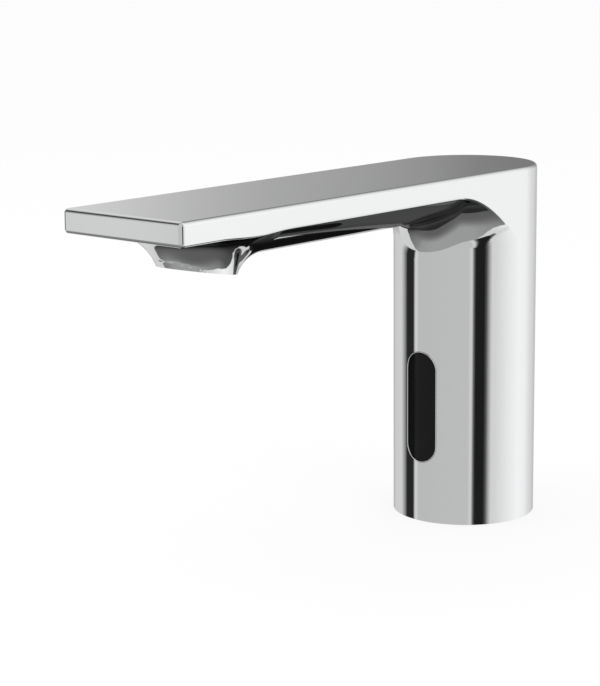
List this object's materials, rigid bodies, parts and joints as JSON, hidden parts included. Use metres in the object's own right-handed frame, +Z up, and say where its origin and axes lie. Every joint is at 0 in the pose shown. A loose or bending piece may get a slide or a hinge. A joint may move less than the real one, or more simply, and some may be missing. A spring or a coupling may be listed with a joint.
{
  "type": "sensor tap",
  "caption": "Touch-free basin tap: round column, long flat spout with a keel and flared outlet beneath, stadium sensor window low on the front, solenoid valve inside.",
  "frame": {"origin": "centre of the column's foot, on the deck's surface", "axes": "+Z up along the column's axis; the spout runs forward along -Y; +X to the right of a user who faces the tap"},
  "size_m": [0.05, 0.1915, 0.124],
  "materials": {
    "chrome": "polished chrome plate",
    "window_black": "glossy black, clear to infrared",
    "rubber_black": "matte black",
    "housing_plastic": "fine matte, dark grey",
    "valve_plastic": "smooth moulded, off-white",
    "insert_plastic": "smooth moulded, grey",
    "check_plastic": "smooth moulded, blue",
    "machined_brass": "turned and milled",
    "stainless": "bright rolled stainless steel",
    "screw_steel": "turned stainless steel",
    "magnet_steel": "zinc plated steel",
    "board_green": "glass-fibre board with green lacquer",
    "diode_clear": "clear epoxy, faint blue",
    "diode_dark": "dark epoxy that lets infrared through",
    "copper_wire": "enamelled copper wire",
    "lead_black": "black cable jacket"
  },
  "bodies": {
    "tap": {"tap_body": "chrome", "sensor_window": "window_black", "window_gasket": "rubber_black", "sensor_housing": "housing_plastic", "sensor_board": "board_green", "optics_holder": "housing_plastic", "sensor_clip": "stainless", "sensor_clip_screws": "screw_steel", "infrared_sender": "diode_clear", "infrared_receiver": "diode_dark", "base_plate": "machined_brass", "base_plate_screws": "screw_steel", "deck_seal": "rubber_black", "cable_gland": "rubber_black", "inlet_union": "machined_brass", "inlet_strainer": "stainless", "check_valve_housing": "check_plastic", "check_valve_spring": "stainless", "riser_tube": "machined_brass", "riser_seals": "rubber_black", "valve_body": "valve_plastic", "outlet_spigot_seal": "rubber_black", "diaphragm": "rubber_black", "valve_cover": "valve_plastic", "valve_screws": "screw_steel", "core_tube": "stainless", "plunger_spring": "stainless", "coil_yoke": "magnet_steel", "coil_bobbin": "housing_plastic", "coil_winding": "copper_wire", "coil_clip": "stainless", "coil_lead": "lead_black", "valve_mount_screws": "screw_steel", "aerator_housing": "insert_plastic", "jet_disc": "insert_plastic", "aerator_screen": "stainless", "aerator_mixer": "insert_plastic", "flow_regulator": "valve_plastic", "aerator_seal": "rubber_black"},
    "plunger_part": {"plunger": "magnet_steel"},
    "pilot_part": {"pilot_plate": "valve_plastic"},
    "poppet_part": {"check_valve_poppet": "valve_plastic"}
  },
  "joints": [
    {"name": "plunger_slide", "type": "slide", "parent": "tap", "child": "plunger_part", "axis": [0, 0, -1], "range_m": [0, 0.0012], "stiffness_N_per_m": 300, "springref_m": -0.002, "deforming": ["plunger_spring"]},
    {"name": "diaphragm_slide", "type": "slide", "parent": "tap", "child": "pilot_part", "axis": [0, 0, -1], "range_m": [0, 0.0012]},
    {"name": "check_valve_slide", "type": "slide", "parent": "tap", "child": "poppet_part", "axis": [0, 0, 1], "range_m": [0, 0.002], "stiffness_N_per_m": 100, "springref_m": -0.001, "deforming": ["check_valve_spring"]}
  ],
  "couplings": [
    {"joint": "diaphragm_slide", "follows": "plunger_slide", "ratio": 1}
  ]
}
